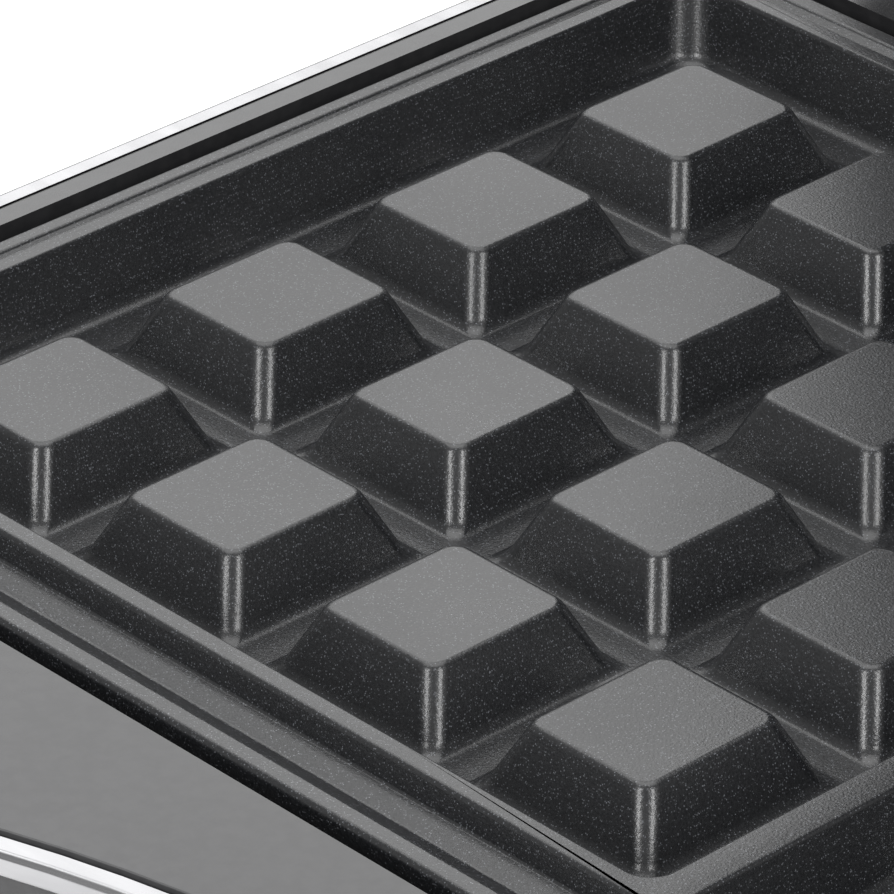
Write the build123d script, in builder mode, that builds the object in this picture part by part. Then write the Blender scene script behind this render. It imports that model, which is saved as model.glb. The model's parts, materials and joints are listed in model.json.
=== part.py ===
# Waffle maker with two square pockets, modelled with its lid open at a right angle.
# X runs along the machine, -Y is the front with the handle, +Z is up. Z = 0 is the table.
# The origin is under the middle of the whole machine's box.
import os
from math import sqrt

from build123d import *

os.makedirs("parts", exist_ok=True)

# ---------------------------------------------------------------------------
# Driving dimensions, in millimetres and degrees
# ---------------------------------------------------------------------------

# Waffle pattern
pitch_x, pitch_y = 25.0, 26.1  # stud to stud
studs_per_side = 4
stud_top_x, stud_top_y = 14.0, 15.7
stud_lean = 3.0  # how far each side spreads from top to floor
stud_height = 6.35
stud_corner = 1.8
stud_edge = 0.7
pocket_depth = 7.5
pocket_top_x, pocket_top_y = 111.4, 115.2  # opening at the ridge
wall_lean = 2.15
divider_width = 3.5
ridge_width = 2.1

# Plate casting
floor_thickness = 3.5
flange_drop = 2.5  # flange surface below the ridge
flange_thickness = 3.0
flange_x, flange_y = 242.7, 133.6
flange_corner = 6.0
lip_width, lip_height = 1.5, 0.5
boss_radius, boss_hole, boss_hole_depth = 5.0, 1.65, 12.0
boss_places = [(-104.0, -48.0), (104.0, -48.0), (-104.0, 48.0), (104.0, 48.0)]

# Plan outline of the housing, measured from the plate's centre
half_width = 128.75
front_reach, back_reach = 99.0, 84.0
front_corner, back_corner = 26.0, 18.0
scoop_depth = 16.5  # how far the front edge bows in at the middle
scoop_radius = 135.0
shoulder_radius = 60.0  # convex stretches beside the scoop

# Levels
foot_height = 4.0
parting_height = 52.0  # between the two shut plates, and the hinge axis
plate_gap = 0.3  # between the two plates when the lid is shut
deck_drop = 2.5  # deck surface below the parting plane
lid_height = 46.0  # parting plane to the top of the cover

# Housing
shell_wall = 2.5
shell_inset = 0.5
shell_edge, cover_edge = 12.0, 14.0
trim_width, trim_height, trim_edge = 2.2, 2.5, 0.7
deck_gap = 0.3
deck_skirt = 2.5
plate_slot = 2.05  # dark gap between the flange and the deck
ledge_width = 4.0
panel_inset, panel_sheet, panel_recess = 20.0, 0.8, 0.9

# Hinge
hinge_offset = 6.8  # axis behind the trim's back face
knuckle_radius = 6.0
knuckle_width, lid_knuckle_width = 10.0, 17.6
knuckle_gap = 0.35
pin_radius = 1.5
running_gap = 0.05
hinge_station = 70.0
arm_drop = 30.0
lid_open_turn = -90.0

# Latch
latch_rise, latch_reach = 13.0, 5.0  # pin above the parting plane and in front of the cover
latch_width, latch_plate = 28.0, 3.0
latch_barrel = 3.4
ear_width, ear_gap = 4.0, 0.5
hook_drop, hook_height = 15.3, 3.2  # hook's upper face below the parting plane
catch_width, catch_reach, catch_height = 30.0, 3.2, 2.5
spring_wire, spring_coil, spring_room = 0.5, 2.6, 5.0

# Handle
handle_low, handle_high = 14.0, 30.0  # above the parting plane
handle_half_width, handle_root = 84.0, 90.0
handle_front, handle_grip = 130.0, 17.0
handle_round = 5.0
handle_screw_x, handle_screw_rise = 64.0, 4.0
inlay_sheet, inlay_inset, inlay_half_width = 1.0, 5.0, 52.0

# Fasteners and inner parts
column_radius = 4.0
deck_columns = [(-112.0, -84.0), (112.0, -84.0), (-112.0, 73.0), (112.0, 73.0)]
column_top, column_gap = 34.0, 0.2
seat_height = 12.0  # where the screw heads bear, above the table
pan_height, pan_sheet = 26.0, 0.7
pan_x, pan_y, pan_wall = 228.0, 120.0, 6.0
heater_radius = 3.25
heater_x, heater_y = 92.0, 38.0
heater_tail_x, heater_tail_y = 10.0, 66.0
strap_places = [(-92.0, 0.0, 0), (92.0, 0.0, 0), (-46.0, -38.0, 90), (46.0, -38.0, 90)]
strap_width, strap_sheet, strap_ear, strap_screw_depth = 8.0, 1.0, 7.0, 2.6
wire_radius = 1.2
cord_x, cord_height, clamp_height = -38.0, 25.5, 17.0
cord_hole_radius, cord_bore_radius = 6.0, 3.6
foot_radius = 8.0
foot_places = [(-100.0, -74.0), (100.0, -74.0), (-102.0, 63.0), (102.0, 63.0)]
lens_radius, lens_dome = 4.0, 1.2
lens_x, lens_y = 12.0, -52.0

# ---------------------------------------------------------------------------
# Values that follow from them
# ---------------------------------------------------------------------------

ridge_top = parting_height - plate_gap / 2
pocket_floor = ridge_top - pocket_depth
plate_underside = pocket_floor - floor_thickness
flange_top = ridge_top - flange_drop
deck_top = parting_height - deck_drop
pocket_offset = (pocket_top_x + divider_width) / 2
ridge_block_x = 2 * pocket_offset + pocket_top_x + 2 * ridge_width
ridge_block_y = pocket_top_y + 2 * ridge_width
slot_x, slot_y = flange_x + 2 * plate_slot, flange_y + 2 * plate_slot

trim_bottom = deck_top - trim_height - 0.2
deck_rebate = trim_bottom - 0.05
deck_bottom = deck_rebate - deck_skirt
shell_top = deck_bottom - 0.2

lid_reach = lid_height - (panel_recess - panel_sheet) + lens_dome
plate_y = (front_reach - back_reach - hinge_offset - lid_reach) / 2
hinge_y = plate_y + back_reach + hinge_offset
back_wall_y = plate_y + back_reach - shell_inset
cover_top = parting_height + lid_height
cover_bottom = 2 * parting_height - shell_top
cover_inner_top = cover_top - panel_recess - shell_wall
scoop_front = -(front_reach - scoop_depth)
latch_y = plate_y + scoop_front - latch_reach
latch_height = parting_height + latch_rise
catch_height_mid = parting_height - hook_drop + 0.3 + catch_height / 2

heater_height = plate_underside - heater_radius - 0.05
base_knuckle_x = lid_knuckle_width / 2 + knuckle_gap + knuckle_width / 2
hinge_line = Axis((0, hinge_y, parting_height), (1, 0, 0))
parting_plane = Plane.XY.offset(parting_height)
stations = (-hinge_station, hinge_station)
strap_screw_reach = heater_radius + strap_ear - 2.6
strap_screw_places = [
    (x + side * (strap_screw_reach if turn == 0 else 0), y + side * (0 if turn == 0 else strap_screw_reach))
    for x, y, turn in strap_places
    for side in (-1, 1)
]


def level(height):
    # A horizontal plane centred over the plate.
    return Plane(origin=(0, plate_y, height))


def plan_outline(height, inset):
    # The housing seen from above: rounded corners, and a scoop in the middle of the front.
    scoop_centre = scoop_front - scoop_radius
    rise = shoulder_radius - front_reach - scoop_centre
    shoulder_x = sqrt((scoop_radius + shoulder_radius) ** 2 - rise**2)
    share = scoop_radius / (scoop_radius + shoulder_radius)
    meet_x, meet_y = shoulder_x * share, scoop_centre + rise * share
    with BuildSketch(level(height)) as outline:
        with BuildLine():
            ThreePointArc((-meet_x, meet_y), (0, scoop_front), (meet_x, meet_y))
            TangentArc((shoulder_x, -front_reach), (meet_x, meet_y), tangent=(-1, 0))
            TangentArc((-shoulder_x, -front_reach), (-meet_x, meet_y), tangent=(1, 0))
            Polyline(
                (shoulder_x, -front_reach),
                (half_width, -front_reach),
                (half_width, back_reach),
                (-half_width, back_reach),
                (-half_width, -front_reach),
                (-shoulder_x, -front_reach),
            )
        make_face()
        for corner_y, radius in ((-front_reach, front_corner), (back_reach, back_corner)):
            at_end = outline.vertices().filter_by(lambda v: abs(abs(v.X) - half_width) < 0.1)
            fillet(at_end.filter_by(lambda v: abs(v.Y - corner_y) < 0.1), radius)
        if inset:
            offset(amount=-inset)
    return outline.sketch


def bowl(low, high, inset, edge_radius, rounded):
    # The outline as a block with one rim rounded: 0 for the lower rim, -1 for the upper.
    with BuildPart() as block:
        extrude(plan_outline(low, inset), amount=high - low)
        fillet(block.edges().group_by(Axis.Z)[rounded], edge_radius)
    return block.part


def screw(head_radius, head_height, shaft_radius, shaft_length):
    # A cross-recess screw that points up, with the seat of its head at the origin.
    with BuildPart() as fastener:
        with BuildSketch(Plane.XY.offset(-head_height)):
            Circle(head_radius)
        extrude(amount=head_height)
        chamfer(fastener.edges().group_by(Axis.Z)[0], head_height * 0.3)
        with BuildSketch():
            Circle(shaft_radius)
        extrude(amount=shaft_length)
        chamfer(fastener.edges().group_by(Axis.Z)[-1], shaft_radius * 0.4)
        with BuildSketch(Plane.XY.offset(-head_height)):
            Rectangle(head_radius * 1.3, head_radius * 0.28)
            Rectangle(head_radius * 0.28, head_radius * 1.3)
        extrude(amount=head_height * 0.5, mode=Mode.SUBTRACT)
    return fastener.part


def lead(*route, radius=wire_radius, bend=3.0):
    # An insulated lead: straight runs joined by round bends.
    with BuildPart() as wire:
        with BuildLine() as path:
            FilletPolyline(*[(x, plate_y + y, z) for x, y, z in route], radius=bend)
        with BuildSketch(Plane(origin=path.wire() @ 0, z_dir=path.wire() % 0)):
            Circle(radius)
        sweep(path=path.wire())
    return wire.part


# ---------------------------------------------------------------------------
# Waffle plates
# ---------------------------------------------------------------------------

with BuildPart() as stud:
    with BuildSketch(level(pocket_floor)):
        RectangleRounded(stud_top_x + 2 * stud_lean, stud_top_y + 2 * stud_lean, stud_corner + 0.6)
    with BuildSketch(level(pocket_floor + stud_height)):
        RectangleRounded(stud_top_x, stud_top_y, stud_corner)
    loft()
    fillet(stud.edges().group_by(Axis.Z)[-1], stud_edge)

with BuildPart() as pocket:
    with BuildSketch(level(pocket_floor)):
        RectangleRounded(pocket_top_x - 2 * wall_lean, pocket_top_y - 2 * wall_lean, 2.4)
    with BuildSketch(level(ridge_top)):
        RectangleRounded(pocket_top_x, pocket_top_y, 3.0)
    loft()
    for centre_x in (-1.5 * pitch_x, -0.5 * pitch_x, 0.5 * pitch_x, 1.5 * pitch_x):
        with Locations((centre_x, 0, 0)):
            with GridLocations(1, pitch_y, 1, studs_per_side):
                add(stud.part, mode=Mode.SUBTRACT)

with BuildPart() as lower_plate:
    with BuildSketch(level(plate_underside)):
        RectangleRounded(ridge_block_x, ridge_block_y, 5)
    extrude(amount=ridge_top - plate_underside)
    fillet(lower_plate.edges().group_by(Axis.Z)[-1], 0.6)
    with BuildSketch(level(flange_top - flange_thickness)):
        RectangleRounded(flange_x, flange_y, flange_corner)
    extrude(amount=flange_thickness)
    with BuildSketch(level(flange_top)):
        RectangleRounded(flange_x, flange_y, flange_corner)
        offset(amount=-lip_width, mode=Mode.SUBTRACT)
    extrude(amount=lip_height)
    with BuildSketch(level(pan_height + pan_sheet)):
        with Locations(*boss_places):
            Circle(boss_radius)
    extrude(amount=plate_underside - pan_height - pan_sheet)
    with Locations(level(pan_height + pan_sheet)):
        with Locations(*boss_places):
            Hole(boss_hole, depth=boss_hole_depth)
    with Locations(level(plate_underside)):
        with Locations(*strap_screw_places):
            Hole(1.2, depth=strap_screw_depth)
    with Locations((-pocket_offset, 0, 0), (pocket_offset, 0, 0)):
        add(pocket.part, mode=Mode.SUBTRACT)

with BuildPart() as upper_plate:
    mirror(lower_plate.part, about=parting_plane)

# ---------------------------------------------------------------------------
# Decks and trim bands
# ---------------------------------------------------------------------------

with BuildPart() as base_deck:
    extrude(plan_outline(deck_rebate, trim_width + deck_gap), amount=deck_top - deck_rebate)
    fillet(base_deck.edges().group_by(Axis.Z)[-1], 0.5)
    extrude(plan_outline(deck_bottom, shell_inset + 0.3), amount=deck_skirt)
    with BuildSketch(level(deck_bottom)):
        RectangleRounded(slot_x, slot_y, flange_corner + plate_slot)
    extrude(amount=deck_top - deck_bottom, mode=Mode.SUBTRACT)
    with BuildSketch(level(deck_bottom)):
        RectangleRounded(slot_x + 2, slot_y + 2, flange_corner + plate_slot + 1)
        RectangleRounded(slot_x - 2 * ledge_width, slot_y - 2 * ledge_width, 4, mode=Mode.SUBTRACT)
    extrude(amount=flange_top - flange_thickness - 0.4 - deck_bottom)
    with BuildSketch(level(column_top + column_gap)):
        with Locations(*deck_columns):
            Circle(column_radius)
    extrude(amount=deck_bottom - column_top)
    with Locations(level(column_top + column_gap)):
        with Locations(*deck_columns):
            Hole(1.45, depth=9)

with BuildPart() as lid_bezel:
    mirror(base_deck.part, about=parting_plane)

with BuildPart() as base_trim:
    extrude(plan_outline(trim_bottom, 0), amount=trim_height)
    fillet(base_trim.edges().group_by(Axis.Z)[0], trim_edge)
    fillet(base_trim.edges().group_by(Axis.Z)[-1], trim_edge)
    extrude(plan_outline(trim_bottom, trim_width), amount=trim_height, mode=Mode.SUBTRACT)

with BuildPart() as lid_trim:
    mirror(base_trim.part, about=parting_plane)

# ---------------------------------------------------------------------------
# Base shell and cover
# ---------------------------------------------------------------------------


def hinge_arm(sign, width, heel=False):
    # An eye on the hinge axis and a web to the back wall: sign is -1 in the base, 1 in the lid.
    shell_edge_z = parting_height + sign * (parting_height - shell_top + 0.5)
    with BuildPart() as arm:
        with BuildSketch(Plane.YZ):
            with BuildLine():
                Polyline(
                    (back_wall_y - 1.5, shell_edge_z),
                    (back_wall_y + 1.1, shell_edge_z),
                    (hinge_y - knuckle_radius, parting_height),
                    (hinge_y + knuckle_radius, parting_height),
                    (hinge_y + knuckle_radius, parting_height + sign * 7),
                    (back_wall_y - 1.5, parting_height + sign * arm_drop),
                    close=True,
                )
            make_face()
            with Locations((hinge_y, parting_height)):
                Circle(knuckle_radius)
                if heel:
                    # the heel that meets the base's back wall when the lid is open
                    Polygon((16, -7), (16, 3), (2, 5.5), (3, -5), (6.5, -5.2), (6.5, -7), align=None)
                Circle(pin_radius + running_gap, mode=Mode.SUBTRACT)
        extrude(amount=width / 2, both=True)
    return arm.part


with BuildPart() as base_shell:
    add(bowl(foot_height, shell_top, shell_inset, shell_edge, 0))
    inner_low, inner_inset = foot_height + shell_wall, shell_inset + shell_wall
    add(bowl(inner_low, shell_top, inner_inset, shell_edge - shell_wall, 0), mode=Mode.SUBTRACT)
    base_arm = hinge_arm(-1, knuckle_width)
    for station in stations:
        for side in (-base_knuckle_x, base_knuckle_x):
            with Locations((station + side, 0, 0)):
                add(base_arm)
    # columns for the corner screws and for the plate's screws, counterbored from below
    with BuildSketch(level(foot_height + 1)):
        with Locations(*deck_columns):
            Circle(column_radius + 0.5)
    extrude(amount=column_top - foot_height - 1)
    with BuildSketch(level(foot_height + 1)):
        with Locations(*boss_places):
            Circle(boss_radius)
    extrude(amount=pan_height - foot_height - 1)
    with Locations(level(column_top)):
        with Locations(*deck_columns, *boss_places):
            Hole(2.1)
    with Locations(level(foot_height)):
        with Locations(*deck_columns, *boss_places):
            Hole(3.4, depth=seat_height - foot_height)
    # sockets for the feet, posts for the cord clamp, and cooling slots
    with Locations(level(foot_height + shell_wall)):
        with Locations(*foot_places):
            Hole(3.55)
    with BuildSketch(level(foot_height + 1)):
        with Locations((cord_x - 10, 66), (cord_x + 10, 66)):
            Circle(3.2)
    extrude(amount=8)
    with Locations(level(foot_height + 9)):
        with Locations((cord_x - 10, 66), (cord_x + 10, 66)):
            Hole(1.45, depth=6)
    with BuildSketch(level(foot_height - 1)):
        with GridLocations(9, 56, 9, 2):
            SlotOverall(30, 3, rotation=90)
    extrude(amount=shell_wall + 2, mode=Mode.SUBTRACT)
    # hole for the cord's grommet, and screw holes of the catch
    with Locations(Plane(origin=(cord_x, back_wall_y, cord_height), z_dir=(0, 1, 0))):
        Hole(cord_hole_radius, depth=shell_wall + 1)
    with BuildSketch(Plane.XZ.offset(-plate_y - scoop_front + 1)):
        with Locations((-10, catch_height_mid), (10, catch_height_mid)):
            Circle(1.15)
    extrude(amount=-shell_wall - 3, mode=Mode.SUBTRACT)

with BuildPart() as lid_shell:
    add(bowl(cover_bottom, cover_top, shell_inset, cover_edge, -1))
    inner_edge = cover_edge - shell_wall
    add(bowl(cover_bottom, cover_inner_top, shell_inset + shell_wall, inner_edge, -1), mode=Mode.SUBTRACT)
    extrude(plan_outline(cover_top - panel_recess, panel_inset), amount=panel_recess, mode=Mode.SUBTRACT)
    lid_arm = hinge_arm(1, lid_knuckle_width, heel=True)
    with Locations(*[(station, 0, 0) for station in stations]):
        add(lid_arm)
    # tubes that take the bezel's four pegs, and columns for the plate's screws
    with BuildSketch(level(2 * parting_height - column_top)):
        with Locations(*deck_columns):
            Circle(column_radius + 0.5)
    extrude(amount=cover_inner_top - 2 * parting_height + column_top)
    with BuildSketch(level(2 * parting_height - pan_height)):
        with Locations(*boss_places):
            Circle(boss_radius)
    extrude(amount=cover_inner_top - 2 * parting_height + pan_height + 1)
    with Locations(level(cover_top)):
        with Locations(*boss_places):
            CounterBoreHole(2.1, 3.4, cover_top + seat_height - 2 * parting_height)
    # windows of the two lamps
    with Locations(level(cover_top)):
        with Locations((-lens_x, lens_y), (lens_x, lens_y)):
            Hole(lens_radius + running_gap, depth=8)
    # ears of the latch
    ear_x = latch_width / 2 + ear_gap + ear_width / 2
    for side in (-ear_x, ear_x):
        with BuildSketch(Plane.YZ.offset(side)):
            with BuildLine():
                Polyline(
                    (latch_y + latch_reach + 3, latch_height - 4.5),
                    (latch_y, latch_height - 4),
                    (latch_y, latch_height + 4),
                    (latch_y + latch_reach + 3, latch_height + 9),
                    close=True,
                )
            make_face()
            with Locations((latch_y, latch_height)):
                Circle(4)
                Circle(pin_radius, mode=Mode.SUBTRACT)
        extrude(amount=ear_width / 2, both=True)
    # screw holes of the handle
    with BuildSketch(Plane.XZ.offset(-plate_y + handle_front)):
        with Locations((0, parting_height + (handle_low + handle_high) / 2)):
            with GridLocations(2 * handle_screw_x, 2 * handle_screw_rise, 2, 2):
                Circle(1.9)
    extrude(amount=-(handle_front - front_reach + 12), mode=Mode.SUBTRACT)

with BuildPart() as lid_top_panel:
    extrude(plan_outline(cover_top - panel_recess, panel_inset + 0.15), amount=panel_sheet)
    chamfer(lid_top_panel.edges().group_by(Axis.Z)[-1], 0.25)
    with Locations(level(cover_top)):
        with Locations((-lens_x, lens_y), (lens_x, lens_y)):
            Hole(lens_radius + 0.1, depth=4)

# ---------------------------------------------------------------------------
# Handle
# ---------------------------------------------------------------------------


def handle_plan(height, inset):
    # A crescent that bridges the scoop.
    inner_front = handle_front - handle_grip
    with BuildSketch(level(height)) as plan:
        with BuildLine():
            ThreePointArc((-handle_half_width, -handle_root), (0, -handle_front), (handle_half_width, -handle_root))
            Line((handle_half_width, -handle_root), (62, -handle_root))
            ThreePointArc((62, -handle_root), (0, -inner_front), (-62, -handle_root))
            Line((-62, -handle_root), (-handle_half_width, -handle_root))
        make_face()
        if inset:
            offset(amount=-inset)
            with Locations((0, -handle_front)):
                Rectangle(2 * inlay_half_width, 60, mode=Mode.INTERSECT)
    return plan.sketch


with BuildPart() as lid_handle:
    extrude(handle_plan(parting_height + handle_low, 0), amount=handle_high - handle_low)
    fillet(lid_handle.edges().group_by(Axis.Z)[0], handle_round)
    fillet(lid_handle.edges().group_by(Axis.Z)[-1], handle_round)
    cut_low = parting_height + handle_low - 2
    extrude(plan_outline(cut_low, shell_inset - 0.1), amount=handle_high, mode=Mode.SUBTRACT)
    inlay_seat = parting_height + handle_high - inlay_sheet
    extrude(handle_plan(inlay_seat, inlay_inset), amount=inlay_sheet, mode=Mode.SUBTRACT)
    with BuildSketch(Plane.XZ.offset(-plate_y + front_reach + 6)):
        with Locations((0, parting_height + (handle_low + handle_high) / 2)):
            with GridLocations(2 * handle_screw_x, 2 * handle_screw_rise, 2, 2):
                Circle(1.45)
    extrude(amount=-12, mode=Mode.SUBTRACT)

with BuildPart() as handle_inlay:
    extrude(handle_plan(inlay_seat, inlay_inset + 0.1), amount=inlay_sheet)
    fillet(handle_inlay.edges().group_by(Axis.Z)[-1], 0.3)

with BuildPart() as handle_screws:
    handle_screw = screw(3.0, 1.8, 1.4, 9.5).rotate(Axis.X, 90)
    seat_y = plate_y - front_reach + 5.9
    with Locations((0, seat_y, parting_height + (handle_low + handle_high) / 2)):
        with GridLocations(2 * handle_screw_x, 1, 2, 1):
            with Locations((0, 0, -handle_screw_rise), (0, 0, handle_screw_rise)):
                add(handle_screw)

# ---------------------------------------------------------------------------
# Hinge pins and latch
# ---------------------------------------------------------------------------

with BuildPart() as hinge_pins:
    pin_length = lid_knuckle_width + 2 * knuckle_gap + 2 * knuckle_width - 1
    for station in stations:
        with BuildSketch(Plane(origin=(station - pin_length / 2, hinge_y, parting_height), z_dir=(1, 0, 0))):
            Circle(pin_radius)
        extrude(amount=pin_length)

with BuildPart() as latch_pin:
    pin_half = latch_width / 2 + ear_gap + ear_width
    with BuildSketch(Plane(origin=(-pin_half, latch_y, latch_height), z_dir=(1, 0, 0))):
        Circle(pin_radius)
    extrude(amount=2 * pin_half)

with BuildPart() as latch_lever:
    hook_top = parting_height - hook_drop
    arm_front = latch_y - latch_plate / 2 - 0.3
    arm_back = arm_front + latch_plate
    with BuildSketch(Plane.YZ.offset(-latch_width / 2)):
        with BuildLine():
            Polyline(
                (arm_back, latch_height),
                (arm_back, hook_top),
                (arm_back + catch_reach - 0.3, hook_top),
                (arm_back + catch_reach - 0.3, hook_top - 1.2),
                (arm_back, hook_top - hook_height),
                (arm_front, hook_top - hook_height),
                (arm_front, latch_height),
                (arm_front - 3.4, latch_height + 13),
                (arm_front - 0.9, latch_height + 13.5),
                (arm_back, latch_height + 2),
                close=True,
            )
        make_face()
        with Locations((latch_y, latch_height)):
            Circle(latch_barrel)
    extrude(amount=latch_width)
    with BuildSketch(Plane.YZ.offset(latch_width / 2 - spring_room)):
        with Locations((latch_y, latch_height)):
            Circle(latch_barrel + 0.6)
    extrude(amount=spring_room, mode=Mode.SUBTRACT)
    with Locations(Plane(origin=(latch_width / 2, latch_y, latch_height), z_dir=(1, 0, 0))):
        Hole(pin_radius + running_gap)

with BuildPart() as latch_spring:
    coil_start = latch_width / 2 - spring_room + 0.6
    with BuildLine() as coil:
        Helix(
            pitch=0.9, height=3.6, radius=spring_coil,
            center=(coil_start, latch_y, latch_height), direction=(1, 0, 0),
        )
    with BuildSketch(Plane(origin=coil.wire() @ 0, z_dir=coil.wire() % 0)):
        Circle(spring_wire / 2)
    sweep(path=coil.wire(), is_frenet=True)

with BuildPart() as base_catch:
    catch_low = parting_height - hook_drop + 0.3
    catch_y = plate_y + scoop_front
    with BuildSketch(Plane.XY.offset(catch_low)):
        with Locations((0, catch_y - catch_reach / 2 + 0.3)):
            Rectangle(catch_width, catch_reach + 1.2)
    extrude(amount=catch_height)
    fillet(base_catch.edges().filter_by(Axis.Z).group_by(Axis.Y)[0], 1.2)
    extrude(plan_outline(catch_low, shell_inset - 0.03), amount=catch_height, mode=Mode.SUBTRACT)
    with BuildSketch(Plane.XZ.offset(-catch_y)):
        with Locations((-10, catch_height_mid), (10, catch_height_mid)):
            Circle(1.0)
    extrude(amount=-shell_wall - 2)

# ---------------------------------------------------------------------------
# Heating elements with their straps, pans and fuses
# ---------------------------------------------------------------------------

with BuildPart() as lower_heater:
    with BuildLine() as element_path:
        FilletPolyline(
            (-heater_tail_x, plate_y + heater_tail_y, heater_height),
            (-heater_tail_x, plate_y + heater_y, heater_height),
            (-heater_x, plate_y + heater_y, heater_height),
            (-heater_x, plate_y - heater_y, heater_height),
            (heater_x, plate_y - heater_y, heater_height),
            (heater_x, plate_y + heater_y, heater_height),
            (heater_tail_x, plate_y + heater_y, heater_height),
            (heater_tail_x, plate_y + heater_tail_y, heater_height),
            radius=9,
        )
    with BuildSketch(Plane(origin=element_path.wire() @ 0, z_dir=element_path.wire() % 0)):
        Circle(heater_radius)
    sweep(path=element_path.wire())

with BuildPart() as strap:
    # an arched strip across a straight stretch of the element, which runs along Y here
    with BuildSketch(Plane.XZ):
        with Locations((0, -heater_radius - 0.05)):
            Circle(heater_radius + 0.1 + strap_sheet)
        Rectangle(2 * (heater_radius + 1.1), heater_radius, align=(Align.CENTER, Align.MAX))
        Rectangle(2 * (heater_radius + strap_ear), strap_sheet, align=(Align.CENTER, Align.MAX))
        with Locations((0, -heater_radius - 0.05)):
            Circle(heater_radius + 0.1, mode=Mode.SUBTRACT)
        Rectangle(2 * heater_radius + 0.2, heater_radius, align=(Align.CENTER, Align.MAX), mode=Mode.SUBTRACT)
        Rectangle(300, 60, align=(Align.CENTER, Align.MIN), mode=Mode.SUBTRACT)
    extrude(amount=strap_width / 2, both=True)
    with Locations((-strap_screw_reach, 0, 0), (strap_screw_reach, 0, 0)):
        Hole(1.3)

with BuildPart() as lower_heater_clamps:
    for x, y, turn in strap_places:
        with Locations(Location((x, plate_y + y, plate_underside - 0.05), (0, 0, turn))):
            add(strap.part)

with BuildPart() as lower_clamp_screws:
    strap_screw = screw(2.1, 1.3, 1.15, strap_sheet + strap_screw_depth - 0.2)
    with Locations(level(plate_underside - strap_sheet - 0.06)):
        with Locations(*strap_screw_places):
            add(strap_screw)

with BuildPart() as lower_reflector:
    with BuildSketch(level(pan_height)):
        RectangleRounded(pan_x, pan_y, 8)
    extrude(amount=pan_sheet)
    with BuildSketch(level(pan_height)):
        RectangleRounded(pan_x, pan_y, 8)
        offset(amount=-pan_sheet, mode=Mode.SUBTRACT)
    extrude(amount=pan_wall)
    with Locations(level(pan_height + pan_wall)):
        with Locations(*boss_places):
            Hole(1.7)

with BuildPart() as lower_plate_screws:
    plate_screw = screw(3.2, 2.2, 1.6, pan_height - seat_height + 11)
    with Locations(level(seat_height)):
        with Locations(*boss_places):
            add(plate_screw)

with BuildPart() as lower_fuse:
    with BuildSketch(Plane(origin=(46, plate_y - heater_y + 14, plate_underside - 2.6), z_dir=(1, 0, 0))):
        Circle(2.4)
    extrude(amount=9, both=True)
    fillet(lower_fuse.edges(), 0.8)
    with BuildSketch(Plane(origin=(46, plate_y - heater_y + 14, plate_underside - 2.6), z_dir=(1, 0, 0))):
        Circle(0.5)
    extrude(amount=15, both=True)

# ---------------------------------------------------------------------------
# Thermostat, mains inlet and leads
# ---------------------------------------------------------------------------

with BuildPart() as thermostat:
    with BuildSketch(level(plate_underside - 0.1)):
        Circle(8)
    extrude(amount=-5)
    with BuildSketch(level(plate_underside - 5.1)):
        Rectangle(12, 15)
    extrude(amount=-3)
    fillet(thermostat.edges().group_by(Axis.Z)[0], 0.6)
    with BuildSketch(level(plate_underside - 6.6)):
        Rectangle(28, 5)
    extrude(amount=-0.8)

with BuildPart() as terminal_block:
    with BuildSketch(level(foot_height + shell_wall + 0.05)):
        with Locations((cord_x, 42)):
            RectangleRounded(16, 30, 1.5)
    extrude(amount=12)
    fillet(terminal_block.edges().group_by(Axis.Z)[-1], 0.8)
    with BuildSketch(Plane.YZ.offset(cord_x)):
        with Locations((plate_y + 42, foot_height + shell_wall + 5)):
            with GridLocations(9, 1, 3, 1):
                Circle(1.8)
    extrude(amount=12, both=True, mode=Mode.SUBTRACT)
    with Locations(level(foot_height + shell_wall + 12.05)):
        with Locations((cord_x, 42)):
            with GridLocations(8, 9, 2, 3):
                Hole(1.6, depth=5)

with BuildPart() as cord_gland:
    gland_plane = Plane(origin=(cord_x, back_wall_y + 0.05, cord_height), z_dir=(0, 1, 0))
    with BuildSketch(gland_plane):
        Circle(cord_hole_radius + 2)
    extrude(amount=2.5)
    fillet(cord_gland.edges().group_by(Axis.Y)[-1], 1.0)
    with BuildSketch(gland_plane):
        Circle(cord_hole_radius - 0.05)
    extrude(amount=-shell_wall - 0.2)
    with BuildSketch(gland_plane.offset(-shell_wall - 0.2)):
        Circle(cord_hole_radius + 0.8)
    extrude(amount=-2)
    with Locations(gland_plane.offset(2.5)):
        Hole(cord_bore_radius)

with BuildPart() as cord_clamp:
    with BuildSketch(level(foot_height + 9.1)):
        with Locations((cord_x, 66)):
            RectangleRounded(28, 7, 2)
    extrude(amount=2.5)
    with BuildSketch(Plane.XZ.offset(-plate_y - 66)):
        with Locations((cord_x, clamp_height)):
            Circle(5.4)
    extrude(amount=3.5, both=True)
    with BuildSketch(Plane.XZ.offset(-plate_y - 66)):
        with Locations((cord_x, clamp_height)):
            Circle(cord_bore_radius)
        with Locations((cord_x, foot_height + 9.1)):
            Rectangle(30, 12, align=(Align.CENTER, Align.MAX))
    extrude(amount=4, both=True, mode=Mode.SUBTRACT)
    with Locations(level(foot_height + 11.6)):
        with Locations((cord_x - 10, 66), (cord_x + 10, 66)):
            Hole(1.7)

with BuildPart() as cord_clamp_screws:
    clamp_screw = screw(2.6, 1.6, 1.4, 7).rotate(Axis.X, 180)
    with Locations(level(foot_height + 11.65)):
        with Locations((cord_x - 10, 66), (cord_x + 10, 66)):
            add(clamp_screw)

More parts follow.
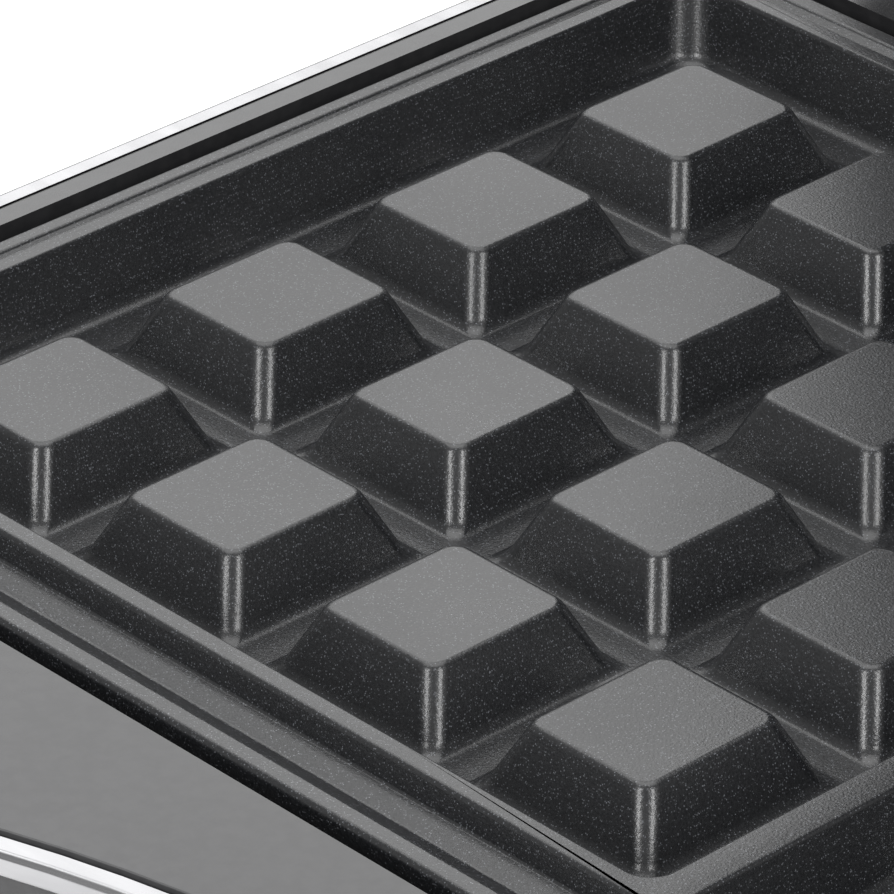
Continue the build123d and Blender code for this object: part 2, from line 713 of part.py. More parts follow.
lead_height = foot_height + shell_wall + 5
lead_x = cord_x + 8.2
with BuildPart() as base_wires:
    add(lead(
        (lead_x, 51, lead_height), (-22, 51, lead_height), (-22, 72, lead_height),
        (-22, 72, heater_height), (-heater_tail_x, 72, heater_height),
        (-heater_tail_x, heater_tail_y + 0.2, heater_height),
        bend=2.6,
    ))
    add(lead(
        (lead_x, 42, lead_height), (4, 42, lead_height), (4, 77, lead_height),
        (4, 77, heater_height), (heater_tail_x, 77, heater_height),
        (heater_tail_x, heater_tail_y + 0.2, heater_height),
        bend=2.6,
    ))
    add(lead(
        (lead_x, 33, lead_height), (18, 33, lead_height), (18, 33, pan_height - 0.1),
    ))

# ---------------------------------------------------------------------------
# Upper copies of the inner parts, mirrored in the parting plane
# ---------------------------------------------------------------------------

with BuildPart() as upper_heater:
    mirror(lower_heater.part, about=parting_plane)

with BuildPart() as upper_heater_clamps:
    mirror(lower_heater_clamps.part, about=parting_plane)

with BuildPart() as upper_clamp_screws:
    mirror(lower_clamp_screws.part, about=parting_plane)

with BuildPart() as upper_reflector:
    mirror(lower_reflector.part, about=parting_plane)

with BuildPart() as upper_plate_screws:
    mirror(lower_plate_screws.part, about=parting_plane)

with BuildPart() as upper_fuse:
    mirror(lower_fuse.part, about=parting_plane)

with BuildPart() as lid_wires:
    upper_height = 2 * parting_height - heater_height
    for side in (-1, 1):
        add(lead(
            (side * 54, 77, parting_height + 12), (side * 54, 77, upper_height + 6),
            (side * heater_tail_x, 77, upper_height + 6), (side * heater_tail_x, 77, upper_height),
            (side * heater_tail_x, heater_tail_y + 0.2, upper_height),
            bend=2.6,
        ))

# ---------------------------------------------------------------------------
# Lamps in the cover
# ---------------------------------------------------------------------------


def lens(x):
    # A domed window with a collar below the cover's top wall.
    with BuildPart() as window:
        with BuildSketch(Plane.XZ):
            with BuildLine():
                low, high = cover_inner_top - 1.3, cover_top - panel_recess + panel_sheet
                Polyline((lens_radius, high), (lens_radius, low + 1.2), (lens_radius + 1, low + 1.2),
                         (lens_radius + 1, low), (0, low), (0, high + lens_dome))
                ThreePointArc((0, high + lens_dome), (lens_radius * 0.55, high + lens_dome * 0.72),
                              (lens_radius, high))
            make_face()
        revolve(axis=Axis.Z)
    return window.part.moved(Location((x, plate_y + lens_y, 0)))


with BuildPart() as power_lens:
    add(lens(-lens_x))

with BuildPart() as ready_lens:
    add(lens(lens_x))

holder_height = cover_inner_top - 9.0
with BuildPart() as lamp_holder:
    with BuildSketch(level(holder_height)):
        with Locations((0, lens_y)):
            RectangleRounded(46, 12, 3)
    extrude(amount=1.2)
    with BuildSketch(level(holder_height)):
        with Locations((-lens_x, lens_y), (lens_x, lens_y)):
            Circle(4.8)
    extrude(amount=7.4)
    with BuildSketch(level(holder_height)):
        with Locations((-19.5, lens_y), (19.5, lens_y)):
            Circle(2.2)
    extrude(amount=8.9)
    with Locations(level(holder_height + 8)):
        with Locations((-lens_x, lens_y), (lens_x, lens_y)):
            Hole(3.3)

with BuildPart() as lamps:
    with BuildSketch(level(holder_height - 4)):
        with Locations((-lens_x, lens_y), (lens_x, lens_y)):
            Circle(3.0)
    extrude(amount=10.5)
    fillet(lamps.edges().group_by(Axis.Z)[-1], 2.2)

# ---------------------------------------------------------------------------
# Feet and corner screws
# ---------------------------------------------------------------------------

with BuildPart() as base_feet:
    with BuildSketch():
        with Locations(*[(x, plate_y + y) for x, y in foot_places]):
            Circle(foot_radius)
    extrude(amount=foot_height - 0.02)
    fillet(base_feet.edges().group_by(Axis.Z)[0], 1.0)
    with BuildSketch(Plane.XY.offset(foot_height - 0.02)):
        with Locations(*[(x, plate_y + y) for x, y in foot_places]):
            Circle(3.5)
    extrude(amount=shell_wall + 1.5)

with BuildPart() as base_screws:
    corner_screw = screw(3.2, 2.2, 1.4, column_top + column_gap - seat_height + 8)
    with Locations(level(seat_height)):
        with Locations(*deck_columns):
            add(corner_screw)

# ---------------------------------------------------------------------------
# Export: the base as built, the lid turned open about the hinge
# ---------------------------------------------------------------------------

base_pieces = {
    "base_shell": base_shell,
    "base_deck": base_deck,
    "base_trim": base_trim,
    "lower_plate": lower_plate,
    "lower_heater": lower_heater,
    "lower_heater_clamps": lower_heater_clamps,
    "lower_clamp_screws": lower_clamp_screws,
    "lower_reflector": lower_reflector,
    "lower_plate_screws": lower_plate_screws,
    "lower_fuse": lower_fuse,
    "thermostat": thermostat,
    "terminal_block": terminal_block,
    "base_wires": base_wires,
    "cord_gland": cord_gland,
    "cord_clamp": cord_clamp,
    "cord_clamp_screws": cord_clamp_screws,
    "base_feet": base_feet,
    "base_screws": base_screws,
    "base_catch": base_catch,
    "hinge_pins": hinge_pins,
}
lid_pieces = {
    "lid_shell": lid_shell,
    "lid_top_panel": lid_top_panel,
    "lid_bezel": lid_bezel,
    "lid_trim": lid_trim,
    "upper_plate": upper_plate,
    "upper_heater": upper_heater,
    "upper_heater_clamps": upper_heater_clamps,
    "upper_clamp_screws": upper_clamp_screws,
    "upper_reflector": upper_reflector,
    "upper_plate_screws": upper_plate_screws,
    "upper_fuse": upper_fuse,
    "lid_wires": lid_wires,
    "lid_handle": lid_handle,
    "handle_inlay": handle_inlay,
    "handle_screws": handle_screws,
    "power_lens": power_lens,
    "ready_lens": ready_lens,
    "lamp_holder": lamp_holder,
    "lamps": lamps,
    "latch_lever": latch_lever,
    "latch_pin": latch_pin,
    "latch_spring": latch_spring,
}

for name, piece in base_pieces.items():
    piece.part.label = name
    export_step(piece.part, f"parts/{name}.step")

for name, piece in lid_pieces.items():
    opened = piece.part.rotate(hinge_line, lid_open_turn)
    opened.label = name
    export_step(opened, f"parts/{name}.step")

print("hinge axis y", round(hinge_y, 3), "z", parting_height, "plate centre y", round(plate_y, 3))
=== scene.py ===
import json
import math

import bpy
from mathutils import Matrix, Vector


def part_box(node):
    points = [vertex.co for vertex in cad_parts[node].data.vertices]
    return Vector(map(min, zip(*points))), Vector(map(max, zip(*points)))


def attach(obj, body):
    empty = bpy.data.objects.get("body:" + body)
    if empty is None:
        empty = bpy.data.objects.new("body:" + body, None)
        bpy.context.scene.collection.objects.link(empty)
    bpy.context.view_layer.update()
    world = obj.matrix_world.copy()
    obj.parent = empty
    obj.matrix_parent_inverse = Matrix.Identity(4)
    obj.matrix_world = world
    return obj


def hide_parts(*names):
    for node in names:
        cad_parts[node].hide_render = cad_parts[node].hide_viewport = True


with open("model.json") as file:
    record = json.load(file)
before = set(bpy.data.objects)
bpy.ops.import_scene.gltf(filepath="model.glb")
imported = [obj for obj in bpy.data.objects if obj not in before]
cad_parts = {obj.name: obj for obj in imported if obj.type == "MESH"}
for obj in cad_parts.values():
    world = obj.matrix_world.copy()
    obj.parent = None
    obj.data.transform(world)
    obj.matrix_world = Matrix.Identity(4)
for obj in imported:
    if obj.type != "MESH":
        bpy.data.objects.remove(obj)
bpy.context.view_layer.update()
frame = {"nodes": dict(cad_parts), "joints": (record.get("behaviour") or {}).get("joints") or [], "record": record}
mm = 0.001
degree = math.pi / 180
plateLow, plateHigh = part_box("lower_plate")
plateY = (plateLow.y + plateHigh.y) / 2
ridgeZ = plateHigh.z
hinge = Vector(frame["joints"][0]["pos_m"])
print("frame loaded")


# camera, floor and lights

cameraLook = {"azimuth": 46.83, "elevation": 29.98, "distance": 0.61575, "lens": 286.6,
              "clipStart": 0.01, "left": 62.45 * mm, "forward": 22.42 * mm}
lightLook = {
    # azimuth and elevation as seen from the plate, distance, width, height, watts
    "overhead": (-130, 76, 1.3, 1.2, 1.0, 7.0),
    "behind": (-133, 34, 1.5, 1.6, 0.8, 7.0),
    "stripLeft": (10, 36, 1.2, 0.04, 0.7, 4.5),
    "stripRight": (84, 36, 1.2, 0.04, 0.7, 4.5),
}
floorSize = 8
floorLook = {
    "dark": (0.93, 0.93, 0.93), "light": (0.97, 0.97, 0.97), "grain": 8, "rough": (0.7, 0.8), "bump": 0.0,
    "shader": {"Emission Color": (1, 1, 1, 1), "Emission Strength": 0.5},
}
worldLook = {"light": 0.34, "seen": 1.0}  # how bright the room is on the machine, and behind it
target = Vector((-cameraLook["left"], plateY - cameraLook["forward"], ridgeZ))


def outwards(azimuth, elevation):
    a, e = azimuth * degree, elevation * degree
    return Vector((math.sin(a) * math.cos(e), -math.cos(a) * math.cos(e), math.sin(e)))


def aim(thing, azimuth, elevation, distance):
    away = outwards(azimuth, elevation)
    thing.location = target + away * distance
    thing.rotation_euler = away.to_track_quat("Z", "Y").to_euler()


def makeCamera(look):
    bpy.ops.object.camera_add()
    camera = bpy.context.object
    camera.name = "camera"
    camera.data.lens = look["lens"]
    camera.data.clip_start = look["clipStart"]
    aim(camera, look["azimuth"], look["elevation"], look["distance"])
    bpy.context.scene.camera = camera


def makeLight(name, look):
    azimuth, elevation, distance, width, height, watts = look
    bpy.ops.object.light_add(type="AREA")
    light = bpy.context.object
    light.name = name
    light.data.shape = "RECTANGLE"
    light.data.size, light.data.size_y = width, height
    light.data.energy = watts
    aim(light, azimuth, elevation, distance)


def makeFloor(size, look):
    bpy.ops.mesh.primitive_plane_add(size=size, location=(0, 0, 0))
    floor = bpy.context.object
    floor.name = "studioFloor"
    floor.data.materials.append(makeFinish("floorPaint", look))


def makeWorld(look):
    world = bpy.data.worlds.new("studio")
    world.use_nodes = True
    nodes, links = world.node_tree.nodes, world.node_tree.links
    background = nodes["Background"]
    background.inputs["Color"].default_value = (1, 1, 1, 1)
    rays = nodes.new("ShaderNodeLightPath")
    room = addRange(nodes, 0, 1, look["light"], look["seen"])
    links.new(rays.outputs["Is Camera Ray"], room.inputs["Value"])
    links.new(room.outputs["Result"], background.inputs["Strength"])
    bpy.context.scene.world = world


# finishes: what a look doesn't say is taken from here. Tone and gloss are the parts of the noise
# that are spread over the two tones and over the roughness, and bumpHeight is in millimetres
plainFinish = {"stretch": (1, 1, 1), "detail": 3, "patches": 45, "tone": (0.35, 0.65), "gloss": (0.3, 0.7),
               "bumpHeight": 0.05, "shader": {}}


def addRange(nodes, start, end, low=0.0, high=1.0):
    # turns start to end into low to high
    mapped = nodes.new("ShaderNodeMapRange")
    for socket, value in (("From Min", start), ("From Max", end), ("To Min", low), ("To Max", high)):
        mapped.inputs[socket].default_value = value
    return mapped


def makeFinish(name, look):
    # fine grain drives the tone and the bump, broad patches drive the gloss
    look = {**plainFinish, **look}
    material = bpy.data.materials.new(name)
    material.use_nodes = True
    nodes, links = material.node_tree.nodes, material.node_tree.links
    shader = nodes["Principled BSDF"]
    place = nodes.new("ShaderNodeTexCoord")
    stretch = nodes.new("ShaderNodeMapping")
    stretch.inputs["Scale"].default_value = look["stretch"]
    links.new(place.outputs["Object"], stretch.inputs["Vector"])
    grain = nodes.new("ShaderNodeTexNoise")
    grain.inputs["Scale"].default_value = look["grain"]
    grain.inputs["Detail"].default_value = look["detail"]
    links.new(stretch.outputs["Vector"], grain.inputs["Vector"])
    patches = nodes.new("ShaderNodeTexNoise")
    patches.inputs["Scale"].default_value = look["patches"]
    links.new(place.outputs["Object"], patches.inputs["Vector"])

    tone = nodes.new("ShaderNodeValToRGB")
    for stop, position, shade in zip(tone.color_ramp.elements, look["tone"], ("dark", "light")):
        stop.position = position
        stop.color = (*look[shade], 1)
    links.new(grain.outputs["Fac"], tone.inputs["Fac"])
    colour = tone.outputs["Color"]
    if "flecks" in look:
        colour = addFlecks(nodes, links, place, colour, look["flecks"])
    links.new(colour, shader.inputs["Base Color"])

    gloss = addRange(nodes, *look["gloss"], *look["rough"])
    links.new(patches.outputs["Fac"], gloss.inputs["Value"])
    links.new(gloss.outputs["Result"], shader.inputs["Roughness"])

    if look["bump"]:
        bump = nodes.new("ShaderNodeBump")
        bump.inputs["Strength"].default_value = look["bump"]
        bump.inputs["Distance"].default_value = look["bumpHeight"] * mm
        links.new(grain.outputs["Fac"], bump.inputs["Height"])
        links.new(bump.outputs["Normal"], shader.inputs["Normal"])
    for socket, value in look["shader"].items():
        shader.inputs[socket].default_value = value
    return material


def addFlecks(nodes, links, place, colour, look):
    # scattered bright grains: a few cells of a fine pattern, each a small dot
    cells = nodes.new("ShaderNodeTexVoronoi")
    cells.inputs["Scale"].default_value = look["scale"]
    links.new(place.outputs["Object"], cells.inputs["Vector"])
    chance = nodes.new("ShaderNodeSeparateColor")
    links.new(cells.outputs["Color"], chance.inputs["Color"])
    few = addRange(nodes, look["share"], 1.0)
    links.new(chance.outputs["Red"], few.inputs["Value"])
    dot = addRange(nodes, look["size"], look["size"] / 2)
    links.new(cells.outputs["Distance"], dot.inputs["Value"])
    amount = nodes.new("ShaderNodeMath")
    amount.operation = "MULTIPLY"
    links.new(few.outputs["Result"], amount.inputs[0])
    links.new(dot.outputs["Result"], amount.inputs[1])
    mixed = nodes.new("ShaderNodeMix")
    mixed.data_type = "RGBA"
    links.new(amount.outputs["Value"], mixed.inputs["Factor"])
    links.new(colour, mixed.inputs["A"])
    mixed.inputs["B"].default_value = (*look["colour"], 1)
    return mixed.outputs["Result"]


finishLooks = {
    "coated_plate": {"dark": (0.009, 0.0095, 0.011), "light": (0.02, 0.021, 0.023), "grain": 4200,
                     "rough": (0.27, 0.33), "bump": 0.7, "bumpHeight": 0.035,
                     "flecks": {"scale": 6200, "share": 0.74, "size": 0.5, "colour": (0.2, 0.21, 0.23)},
                     "shader": {"IOR": 1.75}},
    "deck_plastic": {"dark": (0.036, 0.036, 0.038), "light": (0.046, 0.046, 0.048), "grain": 700,
                     "rough": (0.12, 0.2), "bump": 0.05,
                     "shader": {"Coat Weight": 0.25, "Coat Roughness": 0.08}},
    "shell_plastic": {"dark": (0.015, 0.015, 0.016), "light": (0.023, 0.023, 0.024), "grain": 2200,
                      "rough": (0.26, 0.36), "bump": 0.25, "bumpHeight": 0.03},
    "bright_trim": {"dark": (0.4, 0.4, 0.41), "light": (0.48, 0.48, 0.49), "grain": 260,
                    "stretch": (0.1, 1, 1), "rough": (0.16, 0.26), "bump": 0.04, "shader": {"Metallic": 1.0}},
    "top_panel": {"dark": (0.46, 0.46, 0.47), "light": (0.62, 0.62, 0.63), "grain": 2400,
                  "stretch": (0.012, 1, 1), "rough": (0.28, 0.38), "bump": 0.22, "bumpHeight": 0.02,
                  "shader": {"Metallic": 1.0}},
    "handle_plastic": {"dark": (0.021, 0.021, 0.022), "light": (0.034, 0.034, 0.035), "grain": 1500,
                       "rough": (0.42, 0.55), "bump": 0.45, "bumpHeight": 0.06},
    "element_steel": {"dark": (0.3, 0.28, 0.26), "light": (0.48, 0.46, 0.45), "grain": 420,
                      "rough": (0.34, 0.5), "bump": 0.15, "shader": {"Metallic": 1.0}},
    "sheet_steel": {"dark": (0.5, 0.5, 0.51), "light": (0.64, 0.64, 0.65), "grain": 900,
                    "stretch": (0.05, 1, 1), "rough": (0.3, 0.42), "bump": 0.12, "shader": {"Metallic": 1.0}},
    "screw_steel": {"dark": (0.42, 0.42, 0.41), "light": (0.58, 0.58, 0.57), "grain": 1400,
                    "rough": (0.24, 0.36), "bump": 0.15, "shader": {"Metallic": 1.0}},
    "ceramic": {"dark": (0.76, 0.73, 0.67), "light": (0.86, 0.84, 0.8), "grain": 1200,
                "rough": (0.6, 0.75), "bump": 0.3},
    "lead_sleeve": {"dark": (0.55, 0.52, 0.46), "light": (0.74, 0.72, 0.66), "grain": 1600,
                    "stretch": (1, 1, 0.4), "rough": (0.55, 0.7), "bump": 0.4},
    "grommet": {"dark": (0.02, 0.02, 0.02), "light": (0.032, 0.032, 0.032), "grain": 1600,
                "rough": (0.4, 0.52), "bump": 0.3},
    "foot_rubber": {"dark": (0.018, 0.018, 0.018), "light": (0.03, 0.03, 0.03), "grain": 1300,
                    "rough": (0.68, 0.85), "bump": 0.5, "bumpHeight": 0.08},
    "red_lens": {"dark": (0.5, 0.015, 0.012), "light": (0.62, 0.03, 0.02), "grain": 240,
                 "rough": (0.06, 0.12), "bump": 0.05, "shader": {"Transmission Weight": 0.35, "IOR": 1.49}},
    "green_lens": {"dark": (0.02, 0.34, 0.06), "light": (0.04, 0.46, 0.1), "grain": 240,
                   "rough": (0.06, 0.12), "bump": 0.05, "shader": {"Transmission Weight": 0.35, "IOR": 1.49}},
    "lamp_glass": {"dark": (0.82, 0.84, 0.84), "light": (0.9, 0.92, 0.92), "grain": 200,
                   "rough": (0.03, 0.06), "bump": 0.03, "shader": {"Transmission Weight": 0.8, "IOR": 1.5}},
}
finishes = {slot: makeFinish(slot + "Finish", look) for slot, look in finishLooks.items()}
print("finishes made:", len(finishes))

makeCamera(cameraLook)
makeFloor(floorSize, floorLook)
for lightName, look in lightLook.items():
    makeLight(lightName, look)
makeWorld(worldLook)
bpy.context.scene.view_settings.view_transform = "Standard"
print("studio ready")


# edit-mode helpers

def selectNothing():
    bpy.ops.object.select_all(action="DESELECT")


def editMode(piece, kind="EDGE"):
    selectNothing()
    bpy.context.view_layer.objects.active = piece
    piece.select_set(True)
    bpy.ops.object.mode_set(mode="EDIT")
    bpy.ops.mesh.select_mode(type=kind)


def objectMode():
    bpy.ops.object.mode_set(mode="OBJECT")


def applyModifier(piece, kind, **settings):
    selectNothing()
    bpy.context.view_layer.objects.active = piece
    piece.select_set(True)
    modifier = piece.modifiers.new(kind.lower(), kind)
    for setting, value in settings.items():
        setattr(modifier, setting, value)
    bpy.ops.object.modifier_apply(modifier=modifier.name)


# the moulded and pressed pieces, with the body and the finish that the record gives each node

bodyOf = {node: body for body, members in frame["record"]["behaviour"]["bodies"].items() for node in members}
slotOf = {part["node"]: part["material_slot"] for part in frame["record"]["subparts"]}


def smoothCopy(node, name, look):
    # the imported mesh, merged, so that its rounds shade as rounds
    piece = bpy.data.objects.new(name, frame["nodes"][node].data.copy())
    bpy.context.scene.collection.objects.link(piece)
    editMode(piece, "VERT")
    bpy.ops.mesh.customdata_custom_splitnormals_clear()
    bpy.ops.mesh.select_all(action="SELECT")
    bpy.ops.mesh.remove_doubles(threshold=look["merge"])
    objectMode()
    bpy.ops.object.shade_smooth_by_angle(angle=look["angle"])
    applyModifier(piece, "WEIGHTED_NORMAL", keep_sharp=True, weight=look["faceWeight"])
    dress(piece, slotOf[node], bodyOf[node], node)


def dress(piece, slot, body, *nodes):
    piece.data.materials.clear()
    piece.data.materials.append(finishes[slot])
    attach(piece, body)
    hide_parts(*nodes)


smoothLook = {"merge": 0.002 * mm, "angle": 30 * degree, "faceWeight": 50}
smoothNodes = {
    "base_shell": "baseTub", "base_deck": "baseDeck", "base_trim": "baseTrimBand",
    "cord_gland": "cordGrommet", "base_feet": "rubberFeet", "base_screws": "baseScrews",
    "base_catch": "catchPlate", "hinge_pins": "hingePins",
    "lid_shell": "lidCover", "lid_top_panel": "steelPanel", "lid_bezel": "lidBezel",
    "lid_trim": "lidTrimBand",
    "lid_handle": "lidHandle", "handle_inlay": "handleInlay",
    "power_lens": "powerLens", "ready_lens": "readyLens",
    "latch_lever": "latchLever", "latch_pin": "latchPin",
}
for node, name in smoothNodes.items():
    smoothCopy(node, name, smoothLook)
for node, packed in frame["nodes"].items():
    if node not in smoothNodes and node not in ("lower_plate", "upper_plate"):
        for materialSlot in packed.material_slots:
            materialSlot.material = finishes[slotOf[node]]
print("pieces dressed")


# the two waffle plates

plateLook = {
    # the studs and the floor between them
    "pitch": (25.0 * mm, 26.1 * mm), "studs": 4, "studTop": (14.0 * mm, 15.7 * mm), "studHeight": 6.35 * mm,
    "studLean": 3.0 * mm, "cornerRound": 1.6 * mm, "topRound": 0.55 * mm, "footRound": 1.2 * mm,
    # the pocket and the ridge round it
    "pocket": (111.4 * mm, 115.2 * mm), "pocketDepth": 7.5 * mm, "wallLean": 2.15 * mm,
    "wallFootRound": 1.8 * mm, "pocketRound": 2.6 * mm, "dividerWidth": 3.5 * mm, "ridgeWidth": 2.1 * mm,
    "ridgeRound": 3.4 * mm,
    # the rim outside the ridge: how far out, as a share of the flange, and how far down in millimetres
    "rim": [(0.0, 0.0), (0.085, 2.45), (0.24, 2.6), (0.45, 3.1), (0.66, 2.6), (0.7, 2.35), (0.94, 2.35),
            (1.0, 2.8), (1.0, 5.4)],
    "blockOut": 0.06, "floorThickness": 3.5 * mm,
    "edgeRound": 0.42 * mm, "rimRound": 0.24 * mm, "roundSegments": 6, "edgeSegments": 3, "footSegments": 4,
    "bossPlace": (104 * mm, 48 * mm), "bossRadius": 5 * mm, "bossSides": 32,
    "screwHole": 1.6 * mm, "holeDepth": 0.8,
    "merge": 0.02 * mm, "sharpAngle": 27 * degree, "smoothAngle": 40 * degree, "faceWeight": 60,
}
slack = 0.1 * mm  # how far a corner may be from where it is looked for


def near(a, b, gap=0.03 * mm):
    return abs(a - b) < gap


def pickEdges(piece, test):
    # leaves only the edges selected whose two ends pass the test
    bpy.ops.mesh.select_all(action="DESELECT")
    objectMode()
    points = piece.data.vertices
    for edge in piece.data.edges:
        edge.select = bool(test(points[edge.vertices[0]].co, points[edge.vertices[1]].co))
    bpy.ops.object.mode_set(mode="EDIT")


def pickOpenEdges():
    bpy.ops.mesh.select_all(action="DESELECT")
    bpy.ops.mesh.select_non_manifold(extend=False, use_wire=False, use_boundary=True,
                                     use_multi_face=False, use_non_contiguous=False, use_verts=False)


def mergeAndTurnOut(piece, gap):
    # joins points that coincide, and points the faces outwards
    editMode(piece, "FACE")
    bpy.ops.mesh.select_all(action="SELECT")
    bpy.ops.mesh.remove_doubles(threshold=gap)
    bpy.ops.mesh.normals_make_consistent(inside=False)
    objectMode()


def settle(piece):
    # puts the object's place into its mesh
    selectNothing()
    bpy.context.view_layer.objects.active = piece
    piece.select_set(True)
    bpy.ops.object.transform_apply(location=True, rotation=True, scale=True)


def makeStudCell(look):
    # one square of the pocket's floor with its stud, at the origin
    pitchX, pitchY = look["pitch"]
    topX, topY = look["studTop"]
    baseX, baseY, height = topX + 2 * look["studLean"], topY + 2 * look["studLean"], look["studHeight"]
    rimWidth = 1 * mm
    selectNothing()
    bpy.ops.mesh.primitive_plane_add(size=1, location=(0, 0, 0))
    cell = bpy.context.object
    editMode(cell, "FACE")
    bpy.ops.mesh.select_all(action="SELECT")
    bpy.ops.transform.resize(value=(pitchX, pitchY, 1))
    bpy.ops.mesh.inset(thickness=rimWidth, depth=0)
    bpy.ops.transform.resize(value=(baseX / (pitchX - 2 * rimWidth), baseY / (pitchY - 2 * rimWidth), 1))
    bpy.ops.mesh.extrude_region_move(TRANSFORM_OT_translate={"value": (0, 0, height)})
    bpy.ops.transform.resize(value=(topX / baseX, topY / baseY, 1))
    pickEdges(cell, lambda a, b: abs(a.z - b.z) > height / 2)
    bpy.ops.mesh.bevel(offset=look["cornerRound"], segments=look["roundSegments"], affect="EDGES")
    pickEdges(cell, lambda a, b: near(a.z, height) and near(b.z, height))
    bpy.ops.mesh.bevel(offset=look["topRound"], segments=look["edgeSegments"], affect="EDGES")

    def atFoot(p):
        return near(p.z, 0) and abs(p.x) < baseX / 2 + slack and abs(p.y) < baseY / 2 + slack
    pickEdges(cell, lambda a, b: atFoot(a) and atFoot(b))
    bpy.ops.mesh.bevel(offset=look["footRound"], segments=look["edgeSegments"], affect="EDGES")
    objectMode()
    return cell


def drawOut(old, new, lift):
    # draws the picked edges from one rectangle (lowX, highX, lowY, highY) to another, and lifts them
    bpy.ops.mesh.extrude_edges_move()
    wide, deep = (new[1] - new[0]) / (old[1] - old[0]), (new[3] - new[2]) / (old[3] - old[2])
    pivotX = (new[0] - wide * old[0]) / (1 - wide) if not near(wide, 1, 1e-7) else 0
    pivotY = (new[2] - deep * old[2]) / (1 - deep) if not near(deep, 1, 1e-7) else 0
    bpy.ops.transform.resize(value=(wide, deep, 1), center_override=(pivotX, pivotY, 0))
    bpy.ops.transform.translate(value=(0, 0, lift))


def makePlate(look, name):
    # the left half, from the studs outwards, then its mirror image
    floorZ = ridgeZ - look["pocketDepth"]
    pocketX = -(look["pocket"][0] + look["dividerWidth"]) / 2
    count, (pitchX, pitchY) = look["studs"], look["pitch"]
    plate = makeStudCell(look)
    plate.name = name
    for offset in ((pitchX, 0, 0), (0, pitchY, 0)):
        applyModifier(plate, "ARRAY", count=count, use_relative_offset=False, use_constant_offset=True,
                      constant_offset_displace=offset, use_merge_vertices=True,
                      merge_threshold=look["merge"])
    plate.location = (pocketX - (count - 1) / 2 * pitchX, plateY - (count - 1) / 2 * pitchY, floorZ)
    settle(plate)
    ridge = raiseWalls(plate, look, pocketX)
    underside = look["pocketDepth"] + look["floorThickness"]
    drawRim(plate, look, ridge, underside)
    applyModifier(plate, "MIRROR", use_axis=(True, False, False), merge_threshold=look["merge"])
    roundSharp(plate, look["edgeRound"], look, lambda p: near(p.z, ridgeZ))
    roundSharp(plate, look["rimRound"], look, lambda p: onRim(p, look))
    makeBosses(plate, look, ridgeZ - underside)
    mergeAndTurnOut(plate, look["merge"] / 20)
    bpy.ops.object.shade_smooth_by_angle(angle=look["smoothAngle"])
    applyModifier(plate, "WEIGHTED_NORMAL", keep_sharp=True, weight=look["faceWeight"])
    print(name, "has", len(plate.data.polygons), "faces")
    return plate


def raiseWalls(plate, look, pocketX):
    # the rest of the floor, the wall with the arc at its foot, and the top of the ridge
    halfX, halfY = (side / 2 for side in look["pocket"])
    lean, ridgeWidth, radius = look["wallLean"], look["ridgeWidth"], look["wallFootRound"]
    turn = math.atan2(look["pocketDepth"], lean)
    reach = radius * math.tan(turn / 2)

    def around(sideX, sideY):
        return (pocketX - sideX, pocketX + sideX, plateY - sideY, plateY + sideY)

    grid = around(*(look["studs"] * pitch / 2 for pitch in look["pitch"]))
    wall = [(grid, 0)]
    for i in range(look["footSegments"] + 1):
        angle = turn * i / look["footSegments"]
        out = -lean - reach + radius * math.sin(angle)
        wall.append((around(halfX + out, halfY + out), radius * (1 - math.cos(angle))))
    top = around(halfX, halfY)
    ridge = (top[0] - ridgeWidth, 0.0, top[2] - ridgeWidth, top[3] + ridgeWidth)
    wall += [(top, look["pocketDepth"]), (ridge, look["pocketDepth"])]
    editMode(plate)
    pickOpenEdges()
    for (old, oldZ), (new, newZ) in zip(wall, wall[1:]):
        drawOut(old, new, newZ - oldZ)

    def atCorner(p):
        outX, outY = abs(p.x - pocketX) - halfX, abs(p.y - plateY) - halfY
        return near(outX, outY, slack / 10) and -lean - reach - slack < outX < slack
    pickEdges(plate, lambda a, b: atCorner(a) and atCorner(b))
    bpy.ops.mesh.bevel(offset=look["pocketRound"], segments=look["roundSegments"], affect="EDGES")
    objectMode()
    return ridge


def drawRim(plate, look, ridge, underside):
    # rounds the ridge's outer corners, then draws the rim down and out on its three sides
    editMode(plate, "VERT")
    bpy.ops.mesh.select_all(action="DESELECT")
    objectMode()
    for point in plate.data.vertices:
        atEnd = near(point.co.y, ridge[2]) or near(point.co.y, ridge[3])
        point.select = near(point.co.x, ridge[0]) and atEnd
    bpy.ops.object.mode_set(mode="EDIT")
    bpy.ops.mesh.bevel(offset=look["ridgeRound"], segments=look["roundSegments"], affect="VERTICES")
    bpy.ops.mesh.select_mode(type="EDGE")
    pickOpenEdges()
    objectMode()
    points = plate.data.vertices
    for edge in plate.data.edges:
        if edge.select and all(near(points[i].co.x, 0) for i in edge.vertices):
            edge.select = False
    bpy.ops.object.mode_set(mode="EDIT")
    flangeX, flangeY = ridge[0] - plateLow.x, ridge[2] - plateLow.y

    def rimAt(out):
        return (ridge[0] - out * flangeX, 0.0, ridge[2] - out * flangeY, ridge[3] + out * flangeY)

    steps = [(rimAt(out), down * mm) for out, down in look["rim"]]
    block = rimAt(look["blockOut"])
    steps += [(block, steps[-1][1]), (block, underside)]
    for (old, oldDown), (new, newDown) in zip(steps, steps[1:]):
        drawOut(old, new, oldDown - newDown)
    bpy.ops.mesh.edge_face_add()
    objectMode()


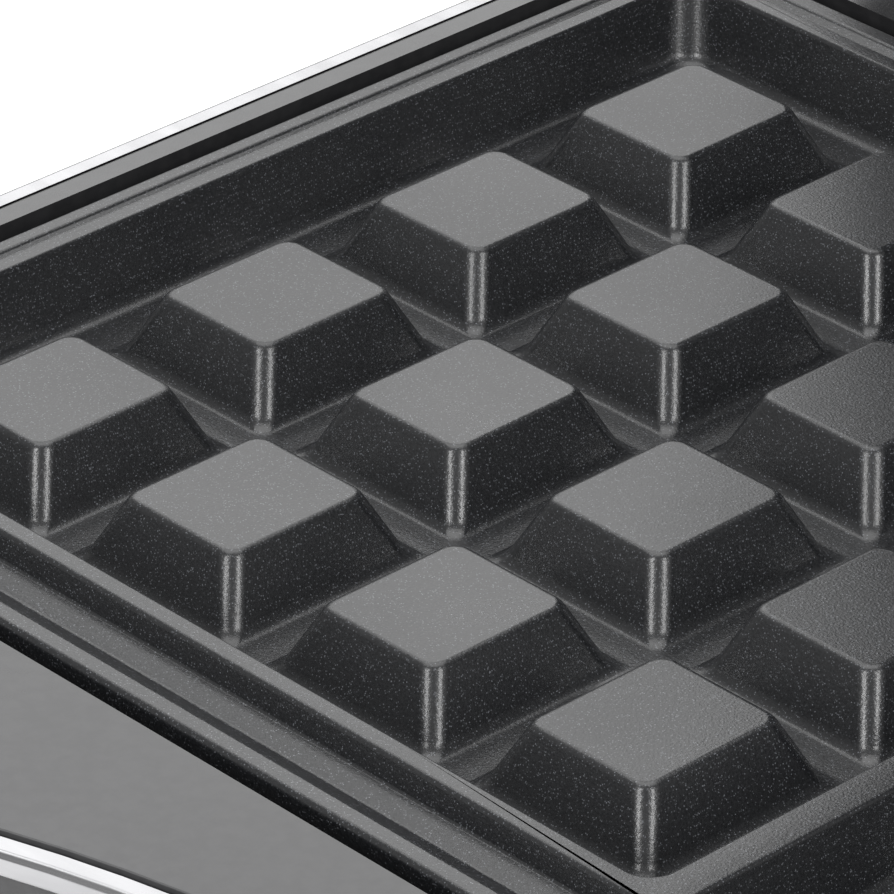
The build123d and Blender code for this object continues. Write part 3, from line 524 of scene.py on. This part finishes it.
def roundSharp(plate, size, look, place):
    # bevels the sharp edges whose two ends are at that place
    mergeAndTurnOut(plate, 0)
    editMode(plate)
    bpy.ops.mesh.select_all(action="DESELECT")
    bpy.ops.mesh.edges_select_sharp(sharpness=look["sharpAngle"])
    objectMode()
    points = plate.data.vertices
    chosen = [edge.select and all(place(points[i].co) for i in edge.vertices) for edge in plate.data.edges]
    editMode(plate)
    bpy.ops.mesh.select_all(action="DESELECT")
    objectMode()
    for edge, picked in zip(plate.data.edges, chosen):
        edge.select = picked
    bpy.ops.object.mode_set(mode="EDIT")
    bpy.ops.mesh.bevel(offset=size, segments=look["edgeSegments"], affect="EDGES")
    objectMode()


def onRim(p, look):
    # outside the ridge and below its top, where the flange is
    ridgeX = look["pocket"][0] + look["dividerWidth"] / 2 + look["ridgeWidth"]
    ridgeY = look["pocket"][1] / 2 + look["ridgeWidth"]
    outside = abs(p.x) > ridgeX + slack or abs(p.y - plateY) > ridgeY + slack
    return outside and 0.6 * mm < ridgeZ - p.z < 6 * mm


def makeBosses(plate, look, underside):
    # the four screw bosses under the plate, each with its blind hole
    depth = underside - plateLow.z
    bosses = []
    for x in (-look["bossPlace"][0], look["bossPlace"][0]):
        for y in (plateY - look["bossPlace"][1], plateY + look["bossPlace"][1]):
            selectNothing()
            bpy.ops.mesh.primitive_cylinder_add(vertices=look["bossSides"], radius=look["bossRadius"],
                                                depth=depth, location=(x, y, underside - depth / 2))
            boss = bpy.context.object
            editMode(boss, "FACE")
            bpy.ops.mesh.select_all(action="DESELECT")
            objectMode()
            for face in boss.data.polygons:
                face.select = face.normal.z < -0.9
            bpy.ops.object.mode_set(mode="EDIT")
            bpy.ops.mesh.inset(thickness=look["bossRadius"] - look["screwHole"], depth=0)
            bpy.ops.mesh.extrude_region_move(
                TRANSFORM_OT_translate={"value": (0, 0, depth * look["holeDepth"])})
            objectMode()
            settle(boss)
            bosses.append(boss)
    selectNothing()
    for piece in (*bosses, plate):
        piece.select_set(True)
    bpy.context.view_layer.objects.active = plate
    bpy.ops.object.join()


def turnToLid(piece, look):
    # the same casting mirrored in the parting plane, then opened about the hinge
    mirrored = Matrix.Translation((0, 0, 2 * hinge.z)) @ Matrix.Scale(-1, 4, (0, 0, 1))
    opened = Matrix.Translation(hinge) @ Matrix.Rotation(-90 * degree, 4, "X") @ Matrix.Translation(-hinge)
    piece.data.transform(opened @ mirrored)
    mergeAndTurnOut(piece, 0)
    applyModifier(piece, "WEIGHTED_NORMAL", keep_sharp=True, weight=look["faceWeight"])


lowerPlate = makePlate(plateLook, "lowerPlate")
selectNothing()
lowerPlate.select_set(True)
bpy.context.view_layer.objects.active = lowerPlate
bpy.ops.object.duplicate()
upperPlate = bpy.context.object
upperPlate.name = "upperPlate"
turnToLid(upperPlate, plateLook)
dress(lowerPlate, "coated_plate", "base", "lower_plate")
dress(upperPlate, "coated_plate", "lid", "upper_plate")
print("plates made")
